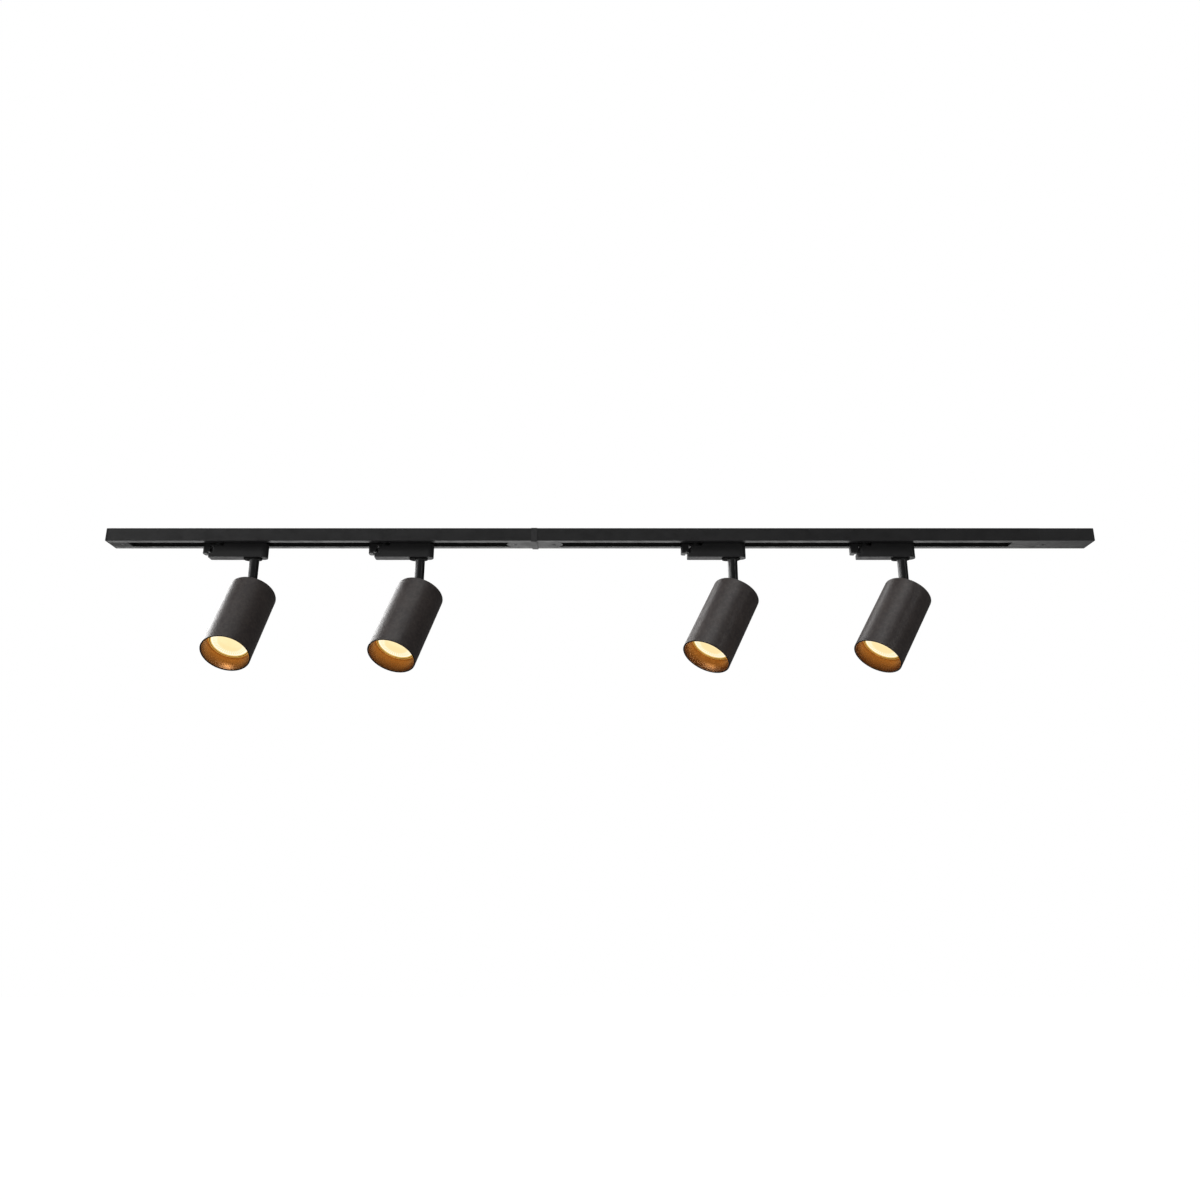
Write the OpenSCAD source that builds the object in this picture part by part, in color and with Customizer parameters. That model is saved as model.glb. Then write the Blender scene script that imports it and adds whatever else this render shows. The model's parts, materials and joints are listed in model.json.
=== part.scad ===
// Ceiling track light: two rails joined end to end, with four spot heads that slide,
// swivel and tilt. Millimetres. The origin is the middle of the ceiling face, X runs
// along the rails, +Z points up into the ceiling and the heads hang towards -Z.

/* [Rail] */
// Length of the left rail
left_rail_len = 569.5; // [450:0.5:1000]
// Length of the right rail
right_rail_len = 676.5; // [540:0.5:1000]
// Width of the rail and of every piece that shares its section
rail_w = 35; // [34:0.5:42]
// Height of that section
rail_h = 18; // [17:0.5:22]
// Thickness of the rail's side walls
rail_wall = 1.3; // [1:0.1:1.8]
// Thickness of the rail's top web
rail_web = 1.5; // [1.2:0.1:2]
// Thickness of the lips beside the slot
lip_t = 1.5; // [1.2:0.1:2]
// Width of the slot that the heads run in
slot_w = 17.5; // [16.5:0.5:18.5]
// Chamfer along the section's top edges
top_chamfer = 1; // [0.5:0.1:1.5]
// Chamfer along the section's bottom edges
bottom_chamfer = 0.5; // [0.3:0.1:1]
// Radius of the screw holes in the web
fixing_hole_r = 2.1; // [1.6:0.1:3]
// Distance of the outer screw hole from each rail's outer end
fixing_hole_out = 72; // [40:1:90]
// Distance of the inner screw hole from each rail's inner end
fixing_hole_in = 77.5; // [50:0.5:100]

/* [Conductors] */
// Width of each insulating strip, measured from the rail's side wall
strip_w = 5; // [4:0.5:6]
// Width of each copper conductor
copper_w = 3; // [2:0.5:4]
// Thickness of each copper conductor
copper_t = 1.2; // [0.8:0.1:1.5]
// Height of the conductors' middle above the underside
copper_up = 9; // [7:0.5:11]

/* [Ends and joiner] */
// Thickness of the end cap's outer wall
cap_wall = 2.5; // [2:0.1:4]
// Length of the end cap's tongue in the rail
cap_tongue = 24.5; // [15:0.5:35]
// Width of the joiner's collar along the rail
collar_len = 8; // [5:0.5:12]
// How far the collar stands below the rails
collar_drop = 1.3; // [0.5:0.1:2]
// How far the collar stands out in front and behind
collar_proud = 0.4; // [0.2:0.1:1]
// Length of the joiner's tongue in each rail
joiner_tongue = 34; // [25:0.5:45]
// Length of the live end's housing
feed_len = 72.5; // [60:0.5:90]
// Length of the live end's tongue in the rail
feed_tongue = 35; // [25:0.5:45]
// Thickness of the live end's walls
feed_wall = 2; // [1.5:0.1:3]
// Radius of the supply cable's entry
cable_r = 4.5; // [3:0.1:6]
// Shank radius of the small screws
screw_r = 1.5; // [1.2:0.1:2]
// Head radius of the small screws
screw_head_r = 2.7; // [2.2:0.1:3.2]

/* [Heads] */
// Distance of the first head from the left rail's outer end
head_1_at = 195; // [175:0.5:200]
// Distance of the second head from the left rail's inner end
head_2_at = 150.5; // [140:0.5:200]
// Distance of the third head from the right rail's inner end
head_3_at = 263.5; // [200:0.5:280]
// Distance of the fourth head from the right rail's outer end
head_4_at = 184; // [170:0.5:220]
// Direction in which each head aims, seen from above
aim = [264, 245, 217, 207]; // [0:1:360]
// Tilt of each head from straight down
tilt = [32, 30, 32, 34]; // [0:1:60]
// Largest tilt that the slot in the rear cap allows
tilt_max = 60; // [40:1:60]

/* [Adapter] */
// Reach of the adapter's body from the stem towards the lever
body_left = 61; // [58:0.5:75]
// Reach of the body past the stem
body_right = 18; // [16:0.5:24]
// Width of the body
body_w = 15; // [14:0.5:17]
// Depth of the body below the rail
body_h = 19.5; // [18:0.5:25]
// Wall of the body
body_wall = 1.6; // [1.2:0.1:2.2]
// Width of the neck in the slot
neck_w = 12; // [10:0.5:13]
// Depth of the lever's thumb tab
tab_h = 13.7; // [11:0.1:15]
// Thickness of the tab along the rail
tab_t = 10.3; // [7:0.1:12]
// Width of the tab across the rail
tab_w = 12; // [10:0.5:14]

/* [Stem] */
// Radius of the stem
stem_r = 6.5; // [5:0.1:7]
// Radius of the wire duct in the stem
duct_r = 3; // [2:0.1:3.5]
// Length of the plate under the adapter
flange_len = 24.8; // [20:0.1:30]
// Thickness of that plate
flange_t = 2; // [1.5:0.1:3]
// Distance of the flange's middle from the stem's, towards the lever
flange_shift = 2; // [0:0.1:2.5]
// Depth of the tilt pivot below the rail
pivot_drop = 75.6; // [65:0.1:90]
// Radius of the pivot screw
pivot_r = 2; // [1.5:0.1:2.5]

/* [Shade] */
// Outer radius of the shade
shade_r = 31.9; // [31:0.1:36]
// Wall of the shade
shade_wall = 1.6; // [1.2:0.1:2.5]
// Length of the shade
shade_len = 110; // [105:0.5:140]
// Distance of the tilt pivot from the shade's rear end
pivot_in = 8; // [7:0.1:9]
// Thickness of the rear cap
cap_t = 2.5; // [2:0.1:3.5]
// Recess of the lamp's face behind the shade's mouth
lamp_recess = 19; // [12:0.5:25]
// Radius of the lamp's face
lamp_r = 25; // [24.5:0.1:25.5]

/* [Clearances] */
// Gap between pieces that move past each other
gap = 0.3; // [0.3:0.05:0.5]
// Radial clearance of a running fit
run = 0.05; // [0.02:0.01:0.1]
// Clearance around pieces that slip together and stay
slip = 0.15; // [0.05:0.05:0.3]

/* [Hidden] */
$fn = 64;
HEADS = [1, 2, 3, 4];
HEAD_PIECES = ["adapter_body", "adapter_neck", "contacts", "lock_lever", "swivel_stem",
    "stem_flange", "pivot_screw", "rear_cap", "shade", "lamp_holder", "lamp", "baffle"];

// Places along the rail
total_len = cap_wall + left_rail_len + collar_len + right_rail_len + feed_len;
left_end = -total_len / 2;
left_x0 = left_end + cap_wall;
left_x1 = left_x0 + left_rail_len;
right_x0 = left_x1 + collar_len;
right_x1 = right_x0 + right_rail_len;
right_end = right_x1 + feed_len;
stem_x = [left_x0 + head_1_at, left_x1 - head_2_at, right_x0 + head_3_at, right_x1 - head_4_at];

// Heights in the section
inner_top = -rail_web;
lip_top = -rail_h + lip_t;
inner_half = rail_w / 2 - rail_wall;
strip_face = inner_half - strip_w;
groove_depth = copper_t + 1;
plug_half = strip_face - gap;
copper_z = -rail_h + copper_up;
blade_h = copper_w - 1.4;

// Lever and adapter, measured from the stem and from the rail's underside
body_top = -gap;
lever_t = 3;
lever_x = -body_left + 11;
lever_hub_r = 7;
lever_spindle_r = 2.5;
lever_spindle_len = 6.7;
lever_neck_r = 5;
cam_half = strip_face - 0.4;
cam_w = 8;
hook_t = 2.5;
upper_left = -body_left + 5;
upper_corner_r = 3;
tab_x0 = -body_left - 8.5;
tab_x1 = tab_x0 + tab_t;
ledge_top = -tab_h - gap;
lid_t = 2;
lid_x0 = lever_x + lever_hub_r + 2;
neck_x0 = lever_x + cam_half + 1.2;
neck_x1 = body_right - 6;
neck_top = copper_up + 3;
ledge_corner_r = 1.8;
stem_spigot_r = 4.6;
stem_head_r = min(stem_spigot_r + 1, body_w / 2 - body_wall - gap);
stem_head_t = 2;
floor_t = 2;

// Head, measured from the pivot along the shade's axis
rear_z = pivot_in;
mouth_z = pivot_in - shade_len;
shade_in = shade_r - shade_wall;
slot_half = stem_r + 0.4;
slot_reach = rear_z * tan(tilt_max) + stem_r / cos(tilt_max) + 0.5;
ear_t = 2.5;
ear_half = 6;
ear_in = stem_r + 0.4;
bridge_z = -stem_r - 10;
holder_h = 18;
holder_r = 14;
pin_len = 7;
pin_half = 5;
lamp_face = mouth_z + lamp_recess;
lamp_base_z = bridge_z - ear_t - holder_h;
baffle_lip_in = lamp_r + 0.5;
baffle_step_r = baffle_lip_in + 1.5;
baffle_lip_t = 1.2;

// ---------------------------------------------------------------- shared shapes

// Outer section of the rail: Y across, X of the polygon becomes Y, Y becomes Z
module section_outline(top = 0, bottom = -rail_h) {
    half = rail_w / 2;
    polygon([
        [-half + bottom_chamfer, bottom], [half - bottom_chamfer, bottom],
        [half, bottom + bottom_chamfer], [half, top - top_chamfer],
        [half - top_chamfer, top], [-half + top_chamfer, top],
        [-half, top - top_chamfer], [-half, bottom + bottom_chamfer]
    ]);
}

// Sweeps a section drawn in Y and Z along X, from x0 to x1
module along_rail(x0, x1) {
    translate([x0, 0, 0])
        rotate([90, 0, 90])
            linear_extrude(height = x1 - x0)
                children();
}

// A block given by its two corners
module block(low, high) {
    translate(low)
        cube(high - low);
}

// A flat shape with a round end of half its width at each end
module capsule(x0, x1, width) {
    r = width / 2;
    translate([x0 + r, -r])
        square([x1 - x0 - width, width]);
    for (x = [x0 + r, x1 - r])
        translate([x, 0])
            circle(r);
}

// A rectangle about the X axis, with round corners at its left end only
module round_left(x0, x1, width, r) {
    translate([x0 + r, -width / 2])
        square([x1 - x0 - r, width]);
    translate([x0, -width / 2 + r])
        square([r, width - 2 * r]);
    for (side = [-1, 1])
        translate([x0 + r, side * (width / 2 - r)])
            circle(r);
}

// Places a child at head n's stem, at the height of the rail's underside
module at_stem(n) {
    translate([stem_x[n - 1], 0, -rail_h])
        children();
}

// The same, turned to head n's aim, so that the head tilts towards +X
module at_swivel(n) {
    at_stem(n)
        rotate([0, 0, aim[n - 1]])
            children();
}

// Places a child in head n's tilted frame: origin at the pivot, mouth towards -Z
module at_head(n) {
    at_swivel(n)
        translate([0, 0, -pivot_drop])
            rotate([0, -tilt[n - 1], 0])
                children();
}

// A small screw with its head's face at z0, pointing up
module small_screw(x, z0, len) {
    translate([x, 0, z0]) {
        cylinder(h = 1.2, r = screw_head_r);
        translate([0, 0, 1.2])
            cylinder(h = len, r = screw_r);
    }
}

// The hole for that screw
module small_screw_hole(x, z0, len) {
    translate([x, 0, z0 - 0.01]) {
        cylinder(h = 1.2 + slip, r = screw_head_r + slip);
        cylinder(h = len + 2, r = screw_r + slip);
    }
}

// The part of a plug inside the rail above the lips, hollow and open at the top
module plug(x0, x1) {
    wall = 2;
    difference() {
        block([x0, -plug_half, lip_top], [x1, plug_half, inner_top - slip]);
        block([x0 + wall, -plug_half + wall, lip_top + wall], [x1 - wall, plug_half - wall, 0]);
    }
}

// The tongue that closes the slot between x0 and x1, flush with the underside
module tongue(x0, x1) {
    half = slot_w / 2 - slip;
    block([x0, -half, -rail_h], [x1, half, lip_top]);
}

// ---------------------------------------------------------------- rails

module rail(x0, x1, holes) {
    half = slot_w / 2;
    color([0.09, 0.09, 0.095])
        difference() {
            along_rail(x0, x1)
                section_outline();
            along_rail(x0 - 1, x1 + 1)
                polygon([
                    [-half, -rail_h - 1], [half, -rail_h - 1], [half, lip_top],
                    [inner_half, lip_top], [inner_half, inner_top],
                    [-inner_half, inner_top], [-inner_half, lip_top], [-half, lip_top]
                ]);
            for (x = holes)
                translate([x, 0, inner_top - 1])
                    cylinder(h = rail_web + 2, r = fixing_hole_r);
        }
}

module left_rail() {
    rail(left_x0, left_x1, [left_x0 + fixing_hole_out, left_x1 - fixing_hole_in]);
}

module right_rail() {
    rail(right_x0, right_x1, [right_x0 + fixing_hole_in, right_x1 - fixing_hole_out]);
}

// Four grooved plastic strips, one along each side wall of each rail
module insulators() {
    color([0.16, 0.16, 0.17])
        for (span = [[left_x0, left_x1], [right_x0, right_x1]])
            for (side = [0, 1])
                along_rail(span[0], span[1])
                    mirror([side, 0, 0])
                        strip_section();
}

module strip_section() {
    top = copper_z + copper_w / 2;
    bottom = copper_z - copper_w / 2;
    floor_y = strip_face + groove_depth;
    polygon([
        [strip_face, lip_top], [inner_half, lip_top], [inner_half, inner_top],
        [strip_face, inner_top], [strip_face, top], [floor_y, top],
        [floor_y, bottom], [strip_face, bottom]
    ]);
}

// Four copper conductors at the bottom of the grooves
module conductors() {
    end_gap = 2;
    y = strip_face + groove_depth - copper_t;
    color([0.72, 0.43, 0.2])
        for (span = [[left_x0, left_x1], [right_x0, right_x1]])
            for (side = [0, 1])
                mirror([0, side, 0])
                    block([span[0] + end_gap, y, copper_z - copper_w / 2],
                          [span[1] - end_gap, y + copper_t, copper_z + copper_w / 2]);
}

// ---------------------------------------------------------------- ends and joiner

cap_screw_x = left_x0 + cap_tongue - 10;
feed_screw_x = right_x1 + 10;
joiner_screw_x = [left_x1 - joiner_tongue * 0.65, right_x0 + joiner_tongue * 0.65];
screw_len = 6;

module end_cap() {
    color([0.11, 0.105, 0.105])
        difference() {
            union() {
                along_rail(left_end, left_x0)
                    section_outline();
                plug(left_x0, left_x0 + cap_tongue);
                tongue(left_x0, left_x0 + cap_tongue);
            }
            small_screw_hole(cap_screw_x, -rail_h, screw_len);
        }
}

module joiner() {
    half = slot_w / 2 - slip;
    tip = [left_x1 - joiner_tongue, right_x0 + joiner_tongue];
    color([0.14, 0.14, 0.145])
        difference() {
            union() {
                along_rail(left_x1, right_x0)
                    collar_section();
                translate([0, 0, -rail_h])
                    linear_extrude(height = lip_t)
                        capsule(tip[0], tip[1], 2 * half);
                plug(tip[0] + half, left_x1);
                plug(right_x0, tip[1] - half);
            }
            for (x = joiner_screw_x)
                small_screw_hole(x, -rail_h, screw_len);
            joiner_blades();
        }
}

// The collar's section, with round lower corners
module collar_section() {
    half = rail_w / 2 + collar_proud;
    bottom = -rail_h - collar_drop;
    r = 1.5;
    translate([-half, bottom + r])
        square([2 * half, -bottom - r]);
    translate([-half + r, bottom])
        square([2 * (half - r), r]);
    for (side = [-1, 1])
        translate([side * (half - r), bottom + r])
            circle(r);
}

// Brass blades that press into the grooves and carry the current across
module blade_pair(x0, x1) {
    color([0.75, 0.6, 0.3])
        for (side = [0, 1])
            mirror([0, side, 0])
                block([x0, plug_half, copper_z - blade_h / 2],
                      [x1, strip_face + groove_depth - copper_t, copper_z + blade_h / 2]);
}

module joiner_blades() {
    blade_pair(left_x1 - joiner_tongue + 10, right_x0 + joiner_tongue - 10);
}

// Tray of the live end, closed below and at its outer end
module feed_housing() {
    top = -feed_wall;
    color([0.11, 0.11, 0.115])
        difference() {
            union() {
                difference() {
                    along_rail(right_x1, right_end)
                        section_outline();
                    block([right_x1 - 1, -rail_w, top], [right_end + 1, rail_w, 1]);
                    block([right_x1 - 1, -rail_w / 2 + feed_wall, -rail_h + feed_wall],
                          [right_end - feed_wall, rail_w / 2 - feed_wall, 1]);
                }
                plug(right_x1 - feed_tongue, right_x1);
                tongue(right_x1 - feed_tongue, right_x1);
            }
            small_screw_hole(feed_screw_x, -rail_h, screw_len);
        }
}

// Lid of the live end, with the supply cable's entry
module feed_cover() {
    color([0.11, 0.11, 0.115])
        difference() {
            along_rail(right_x1, right_end)
                section_outline();
            block([right_x1 - 1, -rail_w, -rail_h - 1], [right_end + 1, rail_w, -feed_wall]);
            translate([right_end - 15, 0, -feed_wall - 1])
                cylinder(h = feed_wall + 2, r = cable_r);
        }
}

terminal_x0 = right_x1 + 16;
terminal_x1 = terminal_x0 + 26;

// Screw terminal for live, neutral and earth
module feed_terminal() {
    z0 = -rail_h + feed_wall;
    z1 = -feed_wall - 1.5;
    pitch = 7;
    color([0.85, 0.85, 0.82])
        difference() {
            block([terminal_x0, -plug_half, z0], [terminal_x1, plug_half, z1]);
            for (y = [-pitch, 0, pitch]) {
                translate([terminal_x0 - 1, y, (z0 + z1) / 2])
                    rotate([0, 90, 0])
                        cylinder(h = terminal_x1 - terminal_x0 + 2, r = 1.6);
                translate([(terminal_x0 + terminal_x1) / 2 + 6, y, (z0 + z1) / 2])
                    cylinder(h = rail_h, r = 1.8);
            }
        }
}

module feed_blades() {
    blade_pair(right_x1 - feed_tongue + 3, terminal_x1 - 4);
}

// Four identical screws: end cap, joiner (two) and live end
module small_screws() {
    color([0.05, 0.05, 0.05])
        for (x = concat([cap_screw_x, feed_screw_x], joiner_screw_x))
            small_screw(x, -rail_h, screw_len);
}

// ---------------------------------------------------------------- adapter

// Outline of the body: corners at its left end, a full round at its right
module body_outline(x0, corner_r) {
    round_left(x0, body_right - body_w / 2, body_w, corner_r);
    translate([body_right - body_w / 2, 0])
        circle(body_w / 2);
}

module adapter_body(n) {
    lever_seat = body_top - lever_t - gap;
    inner_w = body_w - 2 * body_wall;
    rim = body_top - lid_t;
    color([0.12, 0.12, 0.125])
        at_stem(n)
            difference() {
                union() {
                    translate([0, 0, -body_h])
                        linear_extrude(height = body_h + ledge_top)
                            body_outline(-body_left, ledge_corner_r);
                    translate([0, 0, ledge_top])
                        linear_extrude(height = rim - ledge_top)
                            body_outline(upper_left, upper_corner_r);
                }
                // seat of the lever's hub
                block([-body_left - 1, -body_w, lever_seat], [lid_x0, body_w, 1]);
                translate([lever_x, 0, lever_seat - lever_spindle_len])
                    cylinder(h = lever_spindle_len + 1, r = lever_spindle_r + run);
                // wiring space, and the floor's bore for the stem
                translate([0, 0, -body_h + floor_t])
                    linear_extrude(height = body_h)
                        round_left(lid_x0 + body_wall, body_right - body_w / 2, inner_w, 1);
                translate([body_right - body_w / 2, 0, -body_h + floor_t])
                    cylinder(h = body_h, r = inner_w / 2);
                translate([0, 0, -body_h - 1])
                    cylinder(h = floor_t + 2, r = stem_spigot_r + run);
            }
}

// Lid of the body, with the hollow neck and its two hooks
module adapter_neck(n) {
    wall = 1.5;
    hook_z = lip_t + gap;
    blade = contact_h / 2 + slip;
    color([0.12, 0.12, 0.125])
        at_stem(n)
            difference() {
                union() {
                    translate([0, 0, body_top - lid_t])
                        linear_extrude(height = lid_t)
                            intersection() {
                                body_outline(upper_left, upper_corner_r);
                                translate([lid_x0, -body_w])
                                    square([2 * body_left, 2 * body_w]);
                            }
                    block([neck_x0, -neck_w / 2, body_top], [neck_x1, neck_w / 2, neck_top]);
                    for (x = [neck_x0, neck_x1 - 10])
                        block([x, 0, hook_z], [x + 10, cam_half, hook_z + hook_t]);
                }
                block([neck_x0 + wall, -neck_w / 2 + wall, body_top - lid_t - 1],
                      [neck_x1 - wall, neck_w / 2 - wall, neck_top - wall]);
                block([contact_x0 - slip, -neck_w, copper_up - blade],
                      [contact_x1 + slip, neck_w, copper_up + blade]);
            }
}

contact_h = 1.6;
contact_x0 = neck_x0 + 14;
contact_x1 = contact_x0 + 20;

// Two sprung brass contacts that reach into the grooves
module contacts(n) {
    base = neck_w / 2 - 1.5;
    reach = strip_face + groove_depth - copper_t - gap;
    t = 0.8;
    color([0.8, 0.66, 0.36])
        at_stem(n)
            translate([0, 0, copper_up - contact_h / 2])
                linear_extrude(height = contact_h)
                    for (side = [0, 1])
                        mirror([0, side])
                            difference() {
                                contact_outline(base, reach, 0);
                                contact_outline(base - 0.01, reach - t, t);
                            }
}

// A bridge shape: feet at y0, flat nose at y1, drawn in by inset at each end
module contact_outline(y0, y1, inset) {
    slope = 5;
    polygon([
        [contact_x0 + inset, y0], [contact_x0 + slope + inset / 2, y1],
        [contact_x1 - slope - inset / 2, y1], [contact_x1 - inset, y0]
    ]);
}

// Thumb lever: its cam turns across the slot and locks the adapter
module lock_lever(n) {
    plate_z = body_top - lever_t;
    step_x = tab_x0 + tab_t * 0.6;
    color([0.1, 0.1, 0.105])
        at_stem(n) {
            translate([lever_x, 0, 0]) {
                translate([0, 0, plate_z - lever_spindle_len + 0.5])
                    cylinder(h = lever_spindle_len, r = lever_spindle_r);
                translate([0, 0, plate_z])
                    cylinder(h = lever_t, r = lever_hub_r);
                translate([0, 0, plate_z])
                    cylinder(h = lever_t + gap + lip_t + 1, r = lever_neck_r);
                translate([0, 0, lip_t + gap])
                    linear_extrude(height = hook_t)
                        rotate(90)
                            capsule(-cam_half, cam_half, cam_w);
            }
            block([tab_x0 + 1, -lever_neck_r, plate_z], [lever_x, lever_neck_r, body_top]);
            translate([0, 0, -tab_h])
                linear_extrude(height = tab_h - gap)
                    round_left(tab_x0, step_x, tab_w, upper_corner_r);
            block([step_x - 1, -tab_w / 2, -tab_h + 1.6], [tab_x1, tab_w / 2, -gap]);
        }
}

// ---------------------------------------------------------------- stem

stem_top = -body_h + floor_t + gap + stem_head_t;
flange_bottom = -body_h - flange_t;

// Tube that turns in the adapter's floor and carries the tilt pivot at its lower end
module swivel_stem(n) {
    shoulder = flange_bottom - gap;
    collar_h = 3;
    color([0.1, 0.1, 0.105])
        at_swivel(n)
            difference() {
                union() {
                    translate([0, 0, stem_top - stem_head_t])
                        cylinder(h = stem_head_t, r = stem_head_r);
                    translate([0, 0, shoulder - 1])
                        cylinder(h = stem_top - shoulder, r = stem_spigot_r);
                    translate([0, 0, shoulder - collar_h])
                        cylinder(h = collar_h, r1 = stem_r, r2 = stem_r + 1);
                    translate([0, 0, -pivot_drop])
                        cylinder(h = pivot_drop + shoulder, r = stem_r);
                    translate([0, 0, -pivot_drop])
                        sphere(r = stem_r);
                }
                translate([0, 0, -pivot_drop - stem_r - 1])
                    cylinder(h = pivot_drop + stem_r, r = duct_r);
                translate([0, 0, -pivot_drop])
                    rotate([90, 0, 0])
                        cylinder(h = 4 * stem_r, r = pivot_r + run, center = true);
            }
}

// Plate under the adapter that the stem's shoulder turns against
module stem_flange(n) {
    color([0.1, 0.1, 0.105])
        at_stem(n)
            translate([0, 0, flange_bottom])
                difference() {
                    linear_extrude(height = flange_t)
                        capsule(-flange_len / 2 - flange_shift, flange_len / 2 - flange_shift, body_w - 0.4);
                    translate([0, 0, -1])
                        cylinder(h = flange_t + 2, r = stem_spigot_r + run);
                }
}

// Cross screw of the tilt pivot, with its nut
module pivot_screw(n) {
    outer = ear_in + ear_t + gap;
    head_t = 2.2;
    nut_t = 3;
    nut_r = 3.6;
    color([0.6, 0.6, 0.62])
        at_swivel(n)
            translate([0, 0, -pivot_drop])
                rotate([90, 0, 0]) {
                    translate([0, 0, -outer])
                        cylinder(h = 2 * outer + nut_t + 1, r = pivot_r);
                    translate([0, 0, -outer - head_t])
                        cylinder(h = head_t, r = 1.8 * pivot_r);
                    translate([0, 0, outer])
                        difference() {
                            cylinder(h = nut_t, r = nut_r, $fn = 6);
                            translate([0, 0, -1])
                                cylinder(h = nut_t + 2, r = pivot_r + 0.02);
                        }
                }
}

// ---------------------------------------------------------------- shade and lamp

// Plain tube with chamfered ends
module shade(n) {
    c = 0.5;
    color([0.17, 0.155, 0.15])
        at_head(n)
            rotate_extrude()
                polygon([
                    [shade_in, mouth_z], [shade_r - c, mouth_z], [shade_r, mouth_z + c],
                    [shade_r, rear_z - c], [shade_r - c, rear_z], [shade_in, rear_z]
                ]);
}

// Disc that closes the shade's rear, with the stem's slot and the tilt yoke
module rear_cap(n) {
    inner_z = rear_z - cap_t;
    outer_ear = ear_in + ear_t;
    color([0.12, 0.11, 0.11])
        at_head(n)
            difference() {
                union() {
                    translate([0, 0, inner_z])
                        cylinder(h = cap_t, r = shade_in - slip);
                    for (side = [0, 1])
                        mirror([0, side, 0])
                            block([-ear_half, ear_in, bridge_z - ear_t],
                                  [ear_half, outer_ear, inner_z + 0.01]);
                    block([-ear_half, -outer_ear, bridge_z - ear_t],
                          [ear_half, outer_ear, bridge_z]);
                }
                translate([0, 0, inner_z - 1])
                    linear_extrude(height = cap_t + 2) {
                        circle(slot_half);
                        translate([0, -slot_half])
                            square([slot_reach, 2 * slot_half]);
                    }
                rotate([90, 0, 0])
                    cylinder(h = 4 * outer_ear, r = pivot_r + run, center = true);
            }
}

// Ceramic holder of the lamp, fixed under the yoke's bridge
module lamp_holder(n) {
    top = bridge_z - ear_t;
    color([0.9, 0.89, 0.86])
        at_head(n)
            difference() {
                translate([0, 0, top - holder_h])
                    cylinder(h = holder_h, r = holder_r);
                for (side = [-1, 1])
                    translate([0, side * pin_half, top - holder_h - 1])
                        cylinder(h = pin_len + 2, r = 2.6);
            }
}

// Twist-lock reflector lamp with a round face, and its two pins
module lamp(n) {
    seat = lamp_base_z - gap;
    rim_t = 6;
    color([0.95, 0.9, 0.7])
        at_head(n) {
            rotate_extrude()
                polygon([
                    [0, lamp_face], [lamp_r - 2, lamp_face], [lamp_r - 1.6, lamp_face - 0.5],
                    [lamp_r, lamp_face - 0.5], [lamp_r, lamp_face + rim_t],
                    [lamp_r - 1.5, lamp_face + rim_t + 1], [holder_r - 1, seat - 10],
                    [holder_r - 1, seat], [0, seat]
                ]);
            for (side = [-1, 1])
                translate([0, side * pin_half, seat - 1]) {
                    cylinder(h = pin_len, r = 1.5);
                    translate([0, 0, pin_len - 1])
                        cylinder(h = 1.8, r = 2.35);
                }
        }
}

// Flared ring in the mouth, with the flat lip that frames the lamp
module baffle(n) {
    outer = shade_in - slip;
    step_z = lamp_face - 0.2;
    lip_z = step_z + baffle_lip_t;
    edge_z = mouth_z + 0.5;
    color([0.5, 0.33, 0.15])
        at_head(n)
            rotate_extrude()
                polygon([
                    [baffle_lip_in, step_z], [baffle_step_r, step_z], [outer - 0.25, edge_z],
                    [outer, edge_z], [outer, edge_z + 6], [baffle_step_r + 1.4, lip_z],
                    [baffle_lip_in, lip_z]
                ]);
}

// ---------------------------------------------------------------- output

left_rail();
right_rail();
insulators();
conductors();
end_cap();
joiner();
joiner_blades();
feed_housing();
feed_cover();
feed_terminal();
feed_blades();
small_screws();
for (n = HEADS) {
    adapter_body(n);
    adapter_neck(n);
    contacts(n);
    lock_lever(n);
    swivel_stem(n);
    stem_flange(n);
    pivot_screw(n);
    rear_cap(n);
    shade(n);
    lamp_holder(n);
    lamp(n);
    baffle(n);
}
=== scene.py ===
"""Looks of the ceiling track light, in metres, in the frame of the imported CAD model."""

import json
import math

import bmesh
import bpy
from mathutils import Matrix, Vector


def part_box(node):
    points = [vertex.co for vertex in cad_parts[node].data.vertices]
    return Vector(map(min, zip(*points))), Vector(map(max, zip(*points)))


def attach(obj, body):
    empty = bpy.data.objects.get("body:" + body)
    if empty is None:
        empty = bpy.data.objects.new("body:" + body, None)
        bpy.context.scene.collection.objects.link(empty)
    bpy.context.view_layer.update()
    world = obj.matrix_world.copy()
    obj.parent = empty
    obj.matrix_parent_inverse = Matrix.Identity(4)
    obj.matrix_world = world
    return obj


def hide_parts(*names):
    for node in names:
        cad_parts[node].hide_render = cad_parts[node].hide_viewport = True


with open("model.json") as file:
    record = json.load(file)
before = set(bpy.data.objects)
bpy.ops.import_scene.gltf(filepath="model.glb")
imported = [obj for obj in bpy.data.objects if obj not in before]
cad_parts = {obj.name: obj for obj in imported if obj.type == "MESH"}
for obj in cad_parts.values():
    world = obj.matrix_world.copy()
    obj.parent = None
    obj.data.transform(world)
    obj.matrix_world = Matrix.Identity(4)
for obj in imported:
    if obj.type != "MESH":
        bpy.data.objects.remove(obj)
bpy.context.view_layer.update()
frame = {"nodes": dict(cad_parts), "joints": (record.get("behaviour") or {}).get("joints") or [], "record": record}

MM = 0.001
HEADS = (1, 2, 3, 4)
NODES = frame["nodes"]
JOINTS = {joint["name"]: joint for joint in frame["joints"]}
MOUNTS = {mount["name"]: mount for mount in frame["record"]["mounts"]}
WHITE = (1.0, 1.0, 1.0, 1.0)


def linked(name, data):
    """An object that shows some data in the scene."""
    shown = bpy.data.objects.new(name, data)
    bpy.context.scene.collection.objects.link(shown)
    return shown


# ------------------------------------------------------------------ camera and light

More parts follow.
